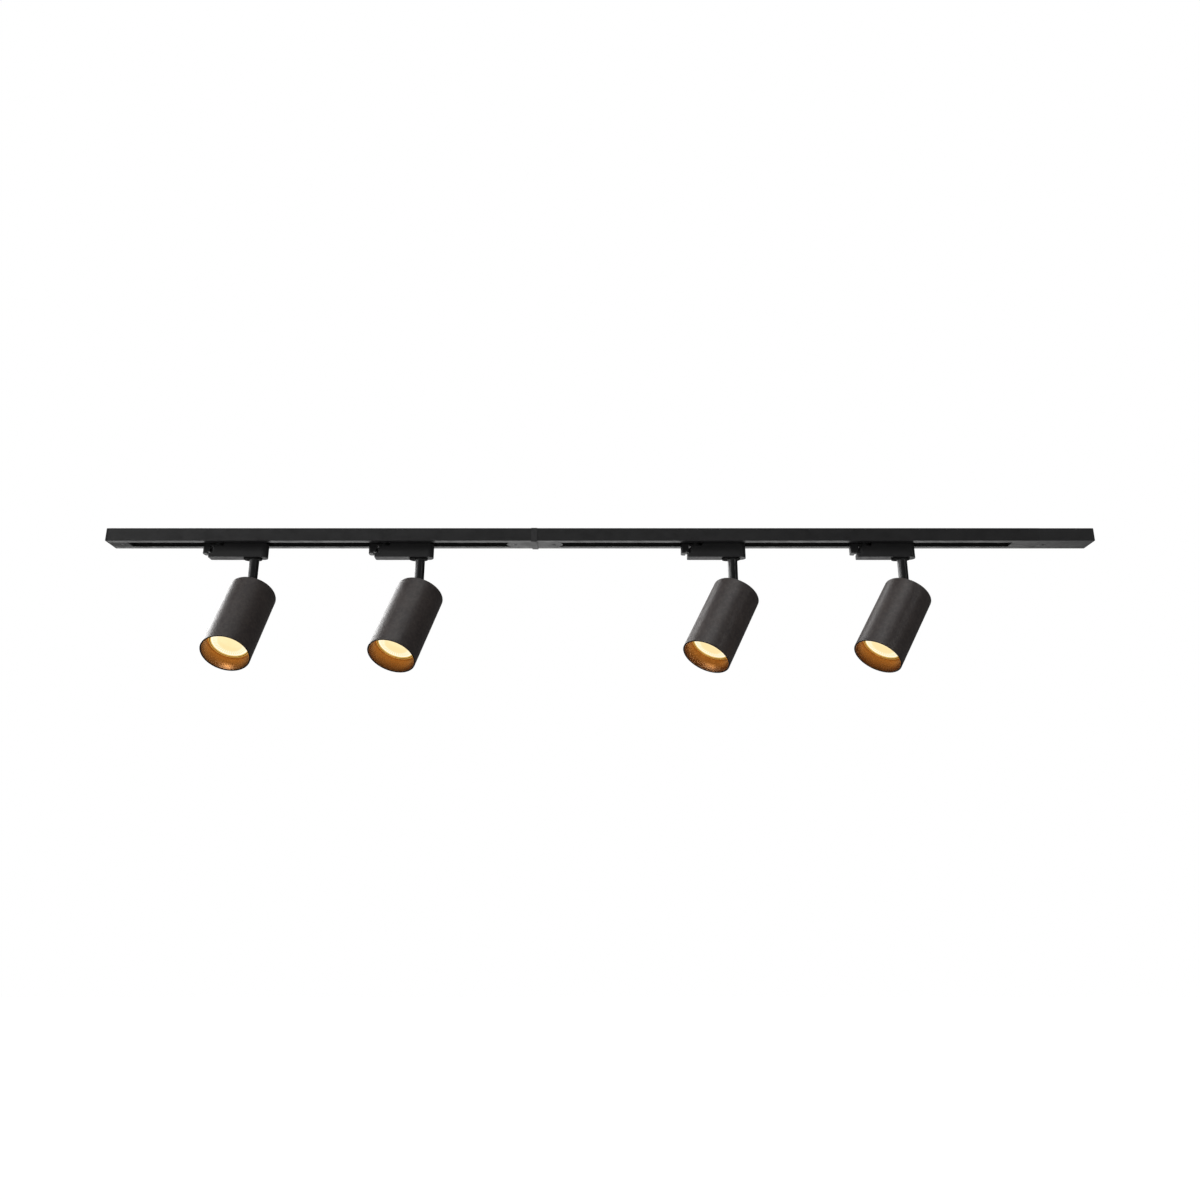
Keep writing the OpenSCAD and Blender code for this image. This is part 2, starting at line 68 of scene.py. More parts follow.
CAMERA_AT = (0.0, -1.3465, -0.4614)
CAMERA_PITCH = 18.45  # degrees upwards
CAMERA_LENS = 31.32
CAMERA_SENSOR = 36.0
CAMERA_SHIFT_Y = -0.0495
CAMERA_REACH = 100.0

FLOOR_Z = -2.4
FLOOR_HALF = 20.0
# the camera sees the floor and the surroundings white, and the object gets this much from them
FLOOR_GLOW = 0.08
SURROUNDINGS_GLOW = 0.05

# name, place, target, width and height, power
SOFT_BOXES = (
    # grazes the shades from the left
    ("left_panel", (-2.6, 0.7, 0.85), (0.0, 0.5, 0.0), (3.6, 1.3), 80.0),
    ("front_fill", (-0.2, -3.0, -1.2), (0.0, 0.0, -0.1), (2.4, 1.0), 6.0),
    ("top_key", (-1.5, -2.4, 3.0), (0.0, 0.0, -0.1), (2.2, 1.6), 34.0),
    # what the undersides reflect
    ("low_panel", (-0.3, 4.4, -1.5), (-0.1, 0.0, -0.05), (5.6, 1.3), 45.0),
    ("back_fill", (-0.6, 1.6, 2.4), (0.0, 0.0, 0.0), (2.4, 1.2), 17.0),
    ("left_high", (-2.6, 1.6, 2.4), (0.0, 0.0, -0.1), (1.8, 1.6), 30.0),
    ("over_front", (0.6, -2.4, 3.2), (0.2, 0.0, -0.1), (2.6, 1.6), 26.0),
    ("left_back", (-2.0, 3.2, 1.15), (0.0, 0.0, 0.0), (2.2, 1.6), 34.0),
    # these two draw the light lines on the stems
    ("stem_line_left", (-2.0, -1.5, 0.75), (0.0, 0.0, -0.05), (0.3, 0.6), 3.0),
    ("stem_line_right", (2.2, -1.5, 0.75), (0.0, 0.0, -0.05), (0.3, 0.6), 2.2),
)


def add_camera():
    data = bpy.data.cameras.new("camera")
    data.lens = CAMERA_LENS
    data.sensor_width = CAMERA_SENSOR
    data.shift_y = CAMERA_SHIFT_Y
    data.clip_end = CAMERA_REACH
    camera = linked("camera", data)
    camera.location = CAMERA_AT
    camera.rotation_euler = (math.radians(90.0 + CAMERA_PITCH), 0.0, 0.0)
    bpy.context.scene.camera = camera


def add_soft_box(name, at, target, size, power):
    data = bpy.data.lights.new(name, "AREA")
    data.shape = "RECTANGLE"
    data.size, data.size_y = size
    data.energy = power
    light = linked(name, data)
    light.location = at
    light.rotation_euler = (Vector(target) - Vector(at)).to_track_quat("-Z", "Y").to_euler()
    light.visible_camera = False


def add_surroundings():
    """A world that is white to the camera and faint to everything else."""
    world = bpy.data.worlds.new("studio")
    bpy.context.scene.world = world
    world.use_nodes = True
    nodes, links = world.node_tree.nodes, world.node_tree.links
    nodes.clear()
    mix = nodes.new("ShaderNodeMixShader")
    for socket, strength in ((1, SURROUNDINGS_GLOW), (2, 1.0)):
        background = nodes.new("ShaderNodeBackground")
        background.inputs["Color"].default_value = WHITE
        background.inputs["Strength"].default_value = strength
        links.new(background.outputs[0], mix.inputs[socket])
    path = nodes.new("ShaderNodeLightPath")
    out = nodes.new("ShaderNodeOutputWorld")
    links.new(path.outputs["Is Camera Ray"], mix.inputs["Fac"])
    links.new(mix.outputs[0], out.inputs["Surface"])


def add_floor():
    """A pale floor that fades into the surroundings in the camera's view."""
    mesh = bpy.data.meshes.new("floor")
    corners = ((-1, -1), (1, -1), (1, 1), (-1, 1))
    mesh.from_pydata([(x * FLOOR_HALF, y * FLOOR_HALF, FLOOR_Z) for x, y in corners], [], [(0, 1, 2, 3)])
    floor = linked("floor", mesh)
    material, tree, shader = new_material("floor_paint", (0.8, 0.8, 0.8), 0.9)
    shader.inputs["Emission Color"].default_value = WHITE
    path = tree.nodes.new("ShaderNodeLightPath")
    glow = spread(tree, path.outputs["Is Camera Ray"], FLOOR_GLOW, 1.0, start=0.0, end=1.0)
    tree.links.new(glow, shader.inputs["Emission Strength"])
    mesh.materials.append(material)


# ------------------------------------------------------------------ materials

EDGE_WEAR = 0.5  # how much of the worn colour a rubbed edge gets


def new_material(name, base, roughness, metallic=0.0, specular=0.5, coat=0.0, coat_roughness=0.1):
    """A principled material with uniform values, its node tree and its shader."""
    material = bpy.data.materials.new(name)
    material.use_nodes = True
    tree = material.node_tree
    shader = tree.nodes["Principled BSDF"]
    shader.inputs["Base Color"].default_value = (*base, 1.0)
    shader.inputs["Roughness"].default_value = roughness
    shader.inputs["Metallic"].default_value = metallic
    shader.inputs["Specular IOR Level"].default_value = specular
    shader.inputs["Coat Weight"].default_value = coat
    shader.inputs["Coat Roughness"].default_value = coat_roughness
    return material, tree, shader


def noise(tree, scale, detail=2.0, roughness=0.5, stretch=None):
    """A noise texture in the object's own coordinates, stretched along an axis if asked."""
    coords = tree.nodes.new("ShaderNodeTexCoord")
    texture = tree.nodes.new("ShaderNodeTexNoise")
    texture.inputs["Scale"].default_value = scale
    texture.inputs["Detail"].default_value = detail
    texture.inputs["Roughness"].default_value = roughness
    if stretch:
        mapping = tree.nodes.new("ShaderNodeMapping")
        mapping.inputs["Scale"].default_value = stretch
        tree.links.new(coords.outputs["Object"], mapping.inputs["Vector"])
        tree.links.new(mapping.outputs["Vector"], texture.inputs["Vector"])
    else:
        tree.links.new(coords.outputs["Object"], texture.inputs["Vector"])
    return texture.outputs["Fac"]


def attribute(tree, name):
    """A value that the mesh itself carries."""
    node = tree.nodes.new("ShaderNodeAttribute")
    node.attribute_name = name
    return node.outputs["Fac"]


def spread(tree, value, low, high, start=0.3, end=0.7):
    """Maps a value between start and end to low to high, and keeps it in that range."""
    node = tree.nodes.new("ShaderNodeMapRange")
    node.inputs["From Min"].default_value = start
    node.inputs["From Max"].default_value = end
    node.inputs["To Min"].default_value = low
    node.inputs["To Max"].default_value = high
    tree.links.new(value, node.inputs["Value"])
    return node.outputs["Result"]


def blend_colors(tree, factor, first, second):
    """A colour between two, by a varying factor; each is a plain colour or another node's output."""
    mix = tree.nodes.new("ShaderNodeMix")
    mix.data_type = "RGBA"
    tree.links.new(factor, mix.inputs["Factor"])
    for socket, color in (("A", first), ("B", second)):
        target = [i for i in mix.inputs if i.name == socket and i.type == "RGBA"][0]
        if isinstance(color, tuple):
            target.default_value = (*color, 1.0)
        else:
            tree.links.new(color, target)
    return [o for o in mix.outputs if o.type == "RGBA"][0]


def mottled(tree, scale, detail, roughness, dark, light):
    """A colour that drifts between two in soft patches."""
    patches = spread(tree, noise(tree, scale, detail, roughness), 0.0, 1.0)
    return blend_colors(tree, patches, dark, light)


def add_bump(tree, shader, height, strength, distance):
    bump = tree.nodes.new("ShaderNodeBump")
    bump.inputs["Strength"].default_value = strength
    bump.inputs["Distance"].default_value = distance
    tree.links.new(height, bump.inputs["Height"])
    tree.links.new(bump.outputs["Normal"], shader.inputs["Normal"])


def wear_factor(tree):
    """How worn a place is: the mesh's own value at its edges, broken up by noise."""
    worn = attribute(tree, "wear")
    patches = spread(tree, noise(tree, 260.0, 3.0, 0.6), 0.0, EDGE_WEAR, start=0.42, end=0.68)
    product = tree.nodes.new("ShaderNodeMath")
    product.operation = "MULTIPLY"
    tree.links.new(worn, product.inputs[0])
    tree.links.new(patches, product.inputs[1])
    return product.outputs[0]


def coated(name, dark, light, worn, roughness, grain, bump, specular=0.5):
    """Powder coat or moulded texture: mottled colour, fine grain and rubbed edges."""
    material, tree, shader = new_material(name, dark, roughness, specular=specular)
    coat = mottled(tree, 34.0, 4.0, 0.6, dark, light)
    color = blend_colors(tree, wear_factor(tree), coat, worn)
    tree.links.new(color, shader.inputs["Base Color"])
    rough = spread(tree, noise(tree, 90.0, 3.0), roughness - 0.05, roughness + 0.07)
    tree.links.new(rough, shader.inputs["Roughness"])
    add_bump(tree, shader, noise(tree, grain, 3.0, 0.65), bump, 0.2 * MM)
    return material


def metal(name, dark, light, roughness, grain=(1.0, 1.0, 1.0)):
    """Bare or plated metal with a satin grain, which a grain other than 1 draws out along an axis."""
    material, tree, shader = new_material(name, dark, roughness, metallic=1.0)
    tree.links.new(mottled(tree, 120.0, 4.0, 0.6, dark, light), shader.inputs["Base Color"])
    rough = spread(tree, noise(tree, 300.0), roughness - 0.08, roughness + 0.1)
    tree.links.new(rough, shader.inputs["Roughness"])
    add_bump(tree, shader, noise(tree, 900.0, stretch=grain), 0.12, 0.1 * MM)
    return material


def lit(name, base, roughness, color_of, strength, **finish):
    """A material that shines by itself; color_of gives its colour and strength is a plain number."""
    material, tree, shader = new_material(name, base, roughness, **finish)
    tree.links.new(color_of(tree), shader.inputs["Emission Color"])
    shader.inputs["Emission Strength"].default_value = strength
    return material, tree, shader


def lens_material():
    """Lit lens: pale yellow in the middle, almost white at its prisms, from the mesh's glow values."""
    name, base = "lamp_lens_lit", (0.3, 0.26, 0.16)
    material, tree, shader = new_material(name, base, 0.18, coat=0.6, coat_roughness=0.05)
    glow = attribute(tree, "glow")
    color = blend_colors(tree, glow, (0.97, 0.70, 0.19), (1.0, 0.95, 0.80))
    tree.links.new(color, shader.inputs["Emission Color"])
    strength = spread(tree, glow, 0.86, 1.12, start=0.0, end=1.0)
    tree.links.new(strength, shader.inputs["Emission Strength"])
    add_bump(tree, shader, noise(tree, 1400.0), 0.1, 0.2 * MM)
    return material


def lamp_rim_material():
    """The lens's edge, which the light inside turns to gold."""
    material, tree, shader = lit(
        "lamp_rim_lit", (0.3, 0.18, 0.05), 0.3,
        lambda tree: mottled(tree, 180.0, 2.0, 0.5, (0.80, 0.50, 0.09), (0.95, 0.66, 0.18)), 0.75)
    add_bump(tree, shader, noise(tree, 900.0), 0.1, 0.2 * MM)
    return material


def baffle_lip_material():
    """The baffle's bead beside the lens, with a painted highlight: it glows gold by itself where the lacquer would
    catch the lamp's light.
    """
    material, tree, shader = lit(
        "baffle_lip_painted_glow", (0.6, 0.3, 0.06), 0.25,
        lambda tree: mottled(tree, 150.0, 3.0, 0.5, (0.75, 0.40, 0.06), (0.98, 0.66, 0.16)), 0.6,
        metallic=0.85)
    add_bump(tree, shader, noise(tree, 1500.0), 0.08, 0.05 * MM)
    return material


def baffle_material():
    """Satin bronze-gold lacquer over metal under a clear, paler sheen, with painted light and shade: bright orange
    beside the lamp, darkening towards the mouth as the lamp's light falls off.
    """
    name, base = "baffle_gold_painted_falloff", (0.5, 0.24, 0.07)
    material, tree, shader = new_material(name, base, 0.38, metallic=0.85, coat=0.5, coat_roughness=0.36)
    mottle = spread(tree, noise(tree, 70.0, 4.0, 0.6), 0.0, 1.0)
    # painted light and shade: a lamp-lit orange beside the lamp and a shaded brown at the mouth
    lamp_lit_color = blend_colors(tree, mottle, (0.66, 0.25, 0.030), (0.76, 0.31, 0.045))
    mouth_shaded_color = blend_colors(tree, mottle, (0.15, 0.064, 0.018), (0.20, 0.088, 0.026))
    color = blend_colors(tree, attribute(tree, "painted_shade_outwards"), lamp_lit_color, mouth_shaded_color)
    tree.links.new(color, shader.inputs["Base Color"])
    rough = spread(tree, noise(tree, 240.0, 3.0), 0.24, 0.32)
    tree.links.new(rough, shader.inputs["Roughness"])
    add_bump(tree, shader, noise(tree, 1500.0), 0.08, 0.05 * MM)
    return material


def grey(value):
    """A black or grey with a trace of blue."""
    return (value, value, value * 1.03)


def make_materials():
    made = {}
    # colour from and to, worn colour, roughness, scale and strength of the grain, specular level
    for look, name, dark, light, worn, *finish in (
            ("rail_black", "rail_coat", grey(0.016), grey(0.021), grey(0.09), 0.42, 2600.0, 0.16),
            ("strip_plastic", "strip_moulding", grey(0.012), grey(0.016), grey(0.03), 0.55, 1800.0, 0.1),
            ("end_plastic", "end_moulding", grey(0.016), grey(0.021), grey(0.06), 0.46, 3200.0, 0.22),
            ("end_cap_plastic", "end_cap_moulding", grey(0.016), grey(0.021), grey(0.06),
             0.58, 3200.0, 0.22, 0.28),
            ("joiner_plastic", "joiner_moulding", grey(0.028), grey(0.034), grey(0.08), 0.5, 3200.0, 0.22),
            ("adapter_plastic", "adapter_moulding", grey(0.019), grey(0.025), grey(0.06),
             0.5, 3600.0, 0.3, 0.38),
            ("lever_plastic", "lever_moulding", grey(0.014), grey(0.018), grey(0.06), 0.42, 3000.0, 0.15),
            ("flange_coat", "flange_coat", grey(0.007), grey(0.010), grey(0.05), 0.8, 2600.0, 0.15, 0.06),
            ("stem_black", "stem_coat", grey(0.010), grey(0.014), grey(0.10), 0.34, 2400.0, 0.1),
            ("cap_black", "cap_coat", grey(0.015), grey(0.02), grey(0.08), 0.5, 2600.0, 0.2),
            ("shade_coat", "shade_coat", (0.043, 0.0360, 0.0360), (0.059, 0.0478, 0.0450),
             (0.10, 0.085, 0.075), 0.4, 2600.0, 0.2),
            # the shade's turned mouth, drawn near-black
            ("shade_rim", "shade_rim_coat", (0.003, 0.003, 0.003), (0.005, 0.004, 0.004),
             (0.012, 0.011, 0.010), 0.7, 2600.0, 0.2, 0.08),
            ("terminal_plastic", "terminal_moulding", (0.6, 0.6, 0.56), (0.66, 0.66, 0.62),
             (0.7, 0.7, 0.68), 0.4, 1500.0, 0.1),
            ("ceramic", "ceramic_body", (0.74, 0.72, 0.66), (0.8, 0.78, 0.73),
             (0.6, 0.58, 0.55), 0.65, 1400.0, 0.3),
            ("lamp_glass", "lamp_shell", (0.55, 0.54, 0.52), (0.6, 0.59, 0.57),
             (0.5, 0.5, 0.5), 0.35, 1500.0, 0.08)):
        made[look] = coated(name, dark, light, worn, *finish)
    made["copper"] = metal("drawn_copper", (0.55, 0.22, 0.1), (0.65, 0.3, 0.15), 0.35, (0.05, 1.0, 1.0))
    made["contact_brass"] = metal("stamped_brass", (0.55, 0.38, 0.12), (0.66, 0.48, 0.18), 0.32)
    made["screw_steel"] = metal("black_zinc", (0.035, 0.035, 0.037), (0.06, 0.06, 0.062), 0.4)
    made["pivot_steel"] = metal("zinc_plate", (0.5, 0.5, 0.52), (0.62, 0.62, 0.64), 0.3)
    made["lamp_lens"] = lens_material()
    made["lamp_rim"] = lamp_rim_material()
    made["baffle_lip"] = baffle_lip_material()
    made["baffle_gold"] = baffle_material()
    return made


# ------------------------------------------------------------------ mesh helpers

SMOOTH_BELOW = 35.0  # degrees between two faces that still shade as one
SHARP_ABOVE = 30.0  # degrees at a CAD edge that gets rounded
FLAT_BELOW = 0.6  # degrees between two CAD faces that are one
BEVEL_STEPS = 2
SAME_POINT = 1e-7
SAME_CAD_POINT = 1e-6
NO_LENGTH = 1e-9
HOLE_SIDES = 32


def mesh_object(name, bm):
    """Turns a bmesh into an object, and frees it."""
    mesh = bpy.data.meshes.new(name)
    bm.to_mesh(mesh)
    bm.free()
    return linked(name, mesh)


def finish_mesh(name, bm, material, smooth=SMOOTH_BELOW):
    """Turns a bmesh into a piece of one material, smooth below an angle."""
    bmesh.ops.remove_doubles(bm, verts=bm.verts, dist=SAME_POINT)
    bmesh.ops.recalc_face_normals(bm, faces=bm.faces)
    piece = mesh_object(name, bm)
    piece.data.shade_smooth()
    piece.data.set_sharp_from_angle(angle=math.radians(smooth))
    piece.data.materials.append(material)
    for polygon in piece.data.polygons:
        polygon.material_index = 0
    return piece


def bevel_edges(bm, edges, width):
    """Rounds edges, and marks the new faces' corners as where a coat wears first."""
    layer = bm.loops.layers.float.get("wear") or bm.loops.layers.float.new("wear")
    made = bmesh.ops.bevel(bm, geom=edges, offset=width, segments=BEVEL_STEPS, profile=0.5,
                           affect="EDGES", clamp_overlap=True)
    for face in made["faces"]:
        for loop in face.loops:
            loop[layer] = 1.0


def apply_modifier(piece, modifier):
    bpy.context.view_layer.objects.active = piece
    with bpy.context.temp_override(object=piece, active_object=piece, selected_objects=[piece]):
        bpy.ops.object.modifier_apply(modifier=modifier.name)


def cut(piece, tools):
    """Takes the tools' space out of a piece, and removes the tools."""
    for tool in tools:
        modifier = piece.modifiers.new("cut", "BOOLEAN")
        modifier.operation = "DIFFERENCE"
        modifier.solver = "EXACT"
        modifier.object = tool
        apply_modifier(piece, modifier)
        bpy.data.objects.remove(tool, do_unlink=True)


def cylinder_tool(x, low_z, high_z, radius):
    """An upright cylinder on the rail's middle line."""
    bm = bmesh.new()
    bmesh.ops.create_cone(bm, cap_ends=True, segments=HOLE_SIDES, radius1=radius, radius2=radius,
                          depth=high_z - low_z, matrix=Matrix.Translation((x, 0.0, (low_z + high_z) / 2)))
    return mesh_object("tool", bm)


def block_tool(size, place):
    """A block about the middle of a place."""
    bm = bmesh.new()
    bmesh.ops.create_cube(bm, size=1.0)
    bmesh.ops.scale(bm, vec=size, verts=bm.verts)
    bmesh.ops.transform(bm, matrix=place, verts=bm.verts)
    return mesh_object("tool", bm)


def even_normals(piece):
    """Lets the large faces set the shading, so that a flat face stays flat up to its bevels."""
    modifier = piece.modifiers.new("even", "WEIGHTED_NORMAL")
    modifier.keep_sharp = True
    modifier.weight = 100
    apply_modifier(piece, modifier)


def settle(piece, body, slot, *nodes):
    """Evens the shading, rides on a body and stands for CAD nodes; slot is not used."""
    even_normals(piece)
    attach(piece, body)
    if nodes:
        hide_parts(*nodes)


def dress(node, slot):
    """Gives a CAD node that keeps its own shape its material."""
    for holder in NODES[node].material_slots:
        holder.material = MATERIALS[slot]


def refined(node, look, width, slot, body, tools=()):
    """A copy of a CAD node with its edges rounded, which stands for it."""
    bm = bmesh.new()
    bm.from_mesh(NODES[node].data)
    bmesh.ops.remove_doubles(bm, verts=bm.verts, dist=SAME_CAD_POINT)
    bmesh.ops.dissolve_limit(bm, angle_limit=math.radians(FLAT_BELOW), verts=bm.verts, edges=bm.edges)
    limit = math.radians(SHARP_ABOVE)
    sharp = [edge for edge in bm.edges if edge.is_manifold and edge.calc_face_angle(0.0) > limit]
    bevel_edges(bm, sharp, width)
    piece = finish_mesh(node + "_shape", bm, MATERIALS[look])
    cut(piece, tools)
    settle(piece, body, slot, node)


def arc(center, radius, start, end, steps):
    """Points along an arc, in degrees, both ends included."""
    return [(center[0] + radius * math.cos(math.radians(start + (end - start) * i / steps)),
             center[1] + radius * math.sin(math.radians(start + (end - start) * i / steps)))
            for i in range(steps + 1)]


def lathe(name, outline, material, place, segments, closed=True, wear=()):
    """Spins an outline of (radius, height) points about a place's Z axis.

    wear lists the outline's stretches, by the number of their first point, where a coat rubs off.
    """
    bm = bmesh.new()
    layer = bm.loops.layers.float.new("wear")
    rings = []
    for i in range(segments):
        turn = 2.0 * math.pi * i / segments
        rings.append([bm.verts.new((r * math.cos(turn), r * math.sin(turn), z)) for r, z in outline])
    count = len(outline)
    for i in range(segments):
        here, there = rings[i], rings[(i + 1) % segments]
        for k in range(count if closed else count - 1):
            corners = [here[k], there[k], there[(k + 1) % count], here[(k + 1) % count]]
            # on the axis two corners fall together
            points = []
            for vert in corners:
                if all((vert.co - other.co).length > NO_LENGTH for other in points):
                    points.append(vert)
            if len(points) < 3:
                continue
            face = bm.faces.new(points)
            for loop in face.loops:
                loop[layer] = 1.0 if k in wear else 0.0
    bmesh.ops.transform(bm, matrix=place, verts=bm.verts)
    return finish_mesh(name, bm, material)


def extruded(first, second):
    """A closed bmesh between two outlines with the same number of points, and its end faces."""
    bm = bmesh.new()
    ends = [[bm.verts.new(point) for point in outline] for outline in (first, second)]
    count = len(first)
    for k in range(count):
        n = (k + 1) % count
        bm.faces.new((ends[0][k], ends[0][n], ends[1][n], ends[1][k]))
    caps = [bm.faces.new(ends[0][::-1]), bm.faces.new(ends[1])]
    return bm, caps


# ------------------------------------------------------------------ rails

RAIL_WALL = 1.3 * MM
RAIL_WEB = 1.5 * MM
RAIL_LIP = 1.5 * MM
SLOT_HALF = 8.75 * MM
TOP_CORNER = 1.0 * MM
BOTTOM_CORNER = 0.5 * MM
STEP_IN = 0.15 * MM  # how far the side steps in below its top band
TOP_BAND = 1.9 * MM

SCREW_FACETS = 48
SCREWS_APART = 8 * MM
SCREW_SHANK_R = 1.5 * MM
SCREW_HEAD_T = 1.2 * MM
SEAM_WIDTH = 0.6 * MM
SEAM_DEPTH = 0.4 * MM


def rail_outline(low, high):
    """The C section with round corners, and a shallow step below a band at the top."""
    half, bottom, top = high.y, low.z, high.z
    below_band = half - STEP_IN
    outside = [(SLOT_HALF, bottom)]
    outside += arc((below_band - BOTTOM_CORNER, bottom + BOTTOM_CORNER), BOTTOM_CORNER, -90.0, 0.0, 4)
    outside += [(below_band, top - TOP_BAND - STEP_IN), (half, top - TOP_BAND)]
    outside += arc((half - TOP_CORNER, top - TOP_CORNER), TOP_CORNER, 0.0, 90.0, 8)
    inner, lip_top = half - RAIL_WALL, bottom + RAIL_LIP
    inside = [(inner, top - RAIL_WEB), (inner, lip_top), (SLOT_HALF, lip_top)]
    outside_left = [(-y, z) for y, z in reversed(outside)]
    inside_left = [(-y, z) for y, z in reversed(inside)]
    return outside + outside_left + inside_left + inside


def rail(node, holes):
    """A rail with the fixing holes of a mount in its web."""
    low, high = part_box(node)
    outline = rail_outline(low, high)
    bm, _ = extruded([(low.x, y, z) for y, z in outline], [(high.x, y, z) for y, z in outline])
    piece = finish_mesh(node + "_shape", bm, MATERIALS["rail_black"])
    mount = MOUNTS[holes]
    half_span = mount["dims"]["spacing_x_mm"] * MM / 2
    radius = mount["dims"]["hole_r_mm"] * MM
    cut(piece, [cylinder_tool(mount["pos_m"][0] + side * half_span, high.z - 3 * RAIL_WEB,
                              high.z + RAIL_WEB, radius) for side in (-1, 1)])
    settle(piece, "rail", "rail_black", node)


def screw_places():
    """Middle and head radius of each screw of the group node, along the rail."""
    groups = []
    for x in sorted({round(vert.co.x, 4) for vert in NODES["small_screws"].data.vertices}):
        if not groups or x - groups[-1][-1] > SCREWS_APART:
            groups.append([x])
        else:
            groups[-1].append(x)
    return [((group[0] + group[-1]) / 2, (group[-1] - group[0]) / 2) for group in groups]


def screws():
    """Pan-head screws with a cross recess, each turned a little further than the last."""
    low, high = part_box("small_screws")
    length = high.z - low.z
    for i, (middle, radius) in enumerate(screw_places()):
        outline = [(0.0, 0.25 * MM), (radius * 0.55, 0.12 * MM), (radius * 0.85, 0.05 * MM),
                   (radius * 0.98, 0.3 * MM), (radius, 0.6 * MM), (radius, SCREW_HEAD_T),
                   (SCREW_SHANK_R, SCREW_HEAD_T), (SCREW_SHANK_R, length), (0.0, length)]
        place = Matrix.Translation((middle, 0.0, low.z))
        piece = lathe(f"small_screw_{i + 1}", outline, MATERIALS["screw_steel"], place, SCREW_FACETS,
                      closed=False, wear=(2, 3))
        bar = Vector((radius * 1.25, radius * 0.22, 1.4 * MM))
        cut(piece, [block_tool(bar, place @ Matrix.Rotation(math.radians(turn + 20.0 * i), 4, "Z"))
                    for turn in (0.0, 90.0)])
        settle(piece, "rail", "screw_steel", "small_screws")


def rail_system():
    rail("left_rail", "left_rail_holes")
    rail("right_rail", "right_rail_holes")
    refined("end_cap", "end_cap_plastic", 0.7 * MM, "end_plastic", "rail")
    refined("joiner", "joiner_plastic", 0.25 * MM, "joiner_plastic", "rail")
    # the seam across the live end's underside, where the rail's lips end
    seam_x, floor_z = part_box("right_rail")[1].x + 0.1 * MM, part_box("feed_housing")[0].z
    below = 1.0 * MM
    seam = block_tool(Vector((SEAM_WIDTH, 2 * SLOT_HALF, SEAM_DEPTH + below)),
                      Matrix.Translation((seam_x, 0.0, floor_z + (SEAM_DEPTH - below) / 2)))
    refined("feed_housing", "end_plastic", 0.35 * MM, "end_plastic", "rail", tools=[seam])
    refined("feed_cover", "end_plastic", 0.35 * MM, "end_plastic", "rail")
    screws()
    for node, slot in (("insulators", "strip_plastic"), ("conductors", "copper"),
                       ("joiner_blades", "contact_brass"), ("feed_blades", "contact_brass"),
                       ("feed_terminal", "terminal_plastic")):
        dress(node, slot)


# ------------------------------------------------------------------ heads

SHADE_FACETS = 160
LAMP_FACETS = 96
PIN_FACETS = 32
STEM_FACETS = 96

SHADE_RIM = 0.45 * MM
SHADE_INNER_CHAMFER = 0.2 * MM

BAFFLE_WALL = 1.2 * MM
BAFFLE_BEAD = 0.75 * MM
BAFFLE_SEAT = 6.0 * MM  # how far the cylinder at its mouth goes back
BAFFLE_STEPS = 14

PRISMS = 44
PRISM_POINTS = 6  # around the lens, for each prism
PRISM_DEPTH = 0.55 * MM
LENS_STEPS = 26
LENS_RISE = 0.9 * MM
LENS_BACK = 2.6 * MM
LENS_SMOOTH_BELOW = 50.0

LAMP_NECK_R = 12.8 * MM
LAMP_BODY = 45.0 * MM  # from the face to the pins
REFLECTOR_START = 7.0 * MM
REFLECTOR_END = 36.0 * MM
REFLECTOR_STEPS = 12
PIN_HALF_SPAN = 5.0 * MM

STEM_R = 6.5 * MM
STEM_DUCT_R = 3.0 * MM
STEM_SPIGOT_R = 4.6 * MM
STEM_HEAD_R = 5.6 * MM
STEM_HEAD_T = 2.0 * MM
STEM_FLARE_R = 1.2 * MM

LEVER_HUB = 8.0 * MM
BOSS_BELOW_TOP = 3.6 * MM
CLEARANCE = 0.3 * MM


def head_frame(n):
    """Matrix from a head's own frame (pivot at the origin, mouth towards -Z) to the row frame."""
    joint = JOINTS[f"tilt_{n}"]
    tilt = math.radians(-joint["range_deg"][0])
    up = Vector((0.0, 0.0, 1.0))
    aim = up.cross(Vector(joint["axis"]).normalized())
    rear = up * math.cos(tilt) - aim * math.sin(tilt)
    side = aim * math.cos(tilt) + up * math.sin(tilt)
    turn = Matrix((side, rear.cross(side), rear)).transposed().to_4x4()
    return Matrix.Translation(Vector(joint["pos_m"])) @ turn


def extent(node, place):
    """Smallest and largest radius, and lowest and highest place along the axis, of a node in a frame."""
    back = place.inverted()
    local = [back @ v.co for v in NODES[node].data.vertices]
    radii = [math.hypot(p.x, p.y) for p in local]
    heights = [p.z for p in local]
    return min(radii), max(radii), min(heights), max(heights)


def shade(n, place):
    """Tube with round rims, blacker at the mouth."""
    inner, outer, mouth, rear = extent(f"shade_{n}", place)
    r, chamfer = SHADE_RIM, SHADE_INNER_CHAMFER
    outline = arc((inner + r, mouth + r), r, 180.0, 270.0, 4)
    outline += arc((outer - r, mouth + r), r, 270.0, 360.0, 4)
    outline += arc((outer - r, rear - r), r, 0.0, 90.0, 4)
    outline += arc((inner + chamfer, rear - chamfer), chamfer, 90.0, 180.0, 3)
    # the stretches that wear are the side's ends and the rear's corner
    piece = lathe(f"shade_{n}_shape", outline, MATERIALS["shade_coat"], place, SHADE_FACETS,
                  wear=(8, 9, 14, 15))
    piece.data.materials.append(MATERIALS["shade_rim"])
    inward = place.inverted()
    for polygon in piece.data.polygons:
        if (inward @ polygon.center).z < mouth + r * 0.8:
            polygon.material_index = 1
    settle(piece, f"head_{n}", "shade_coat", f"shade_{n}")


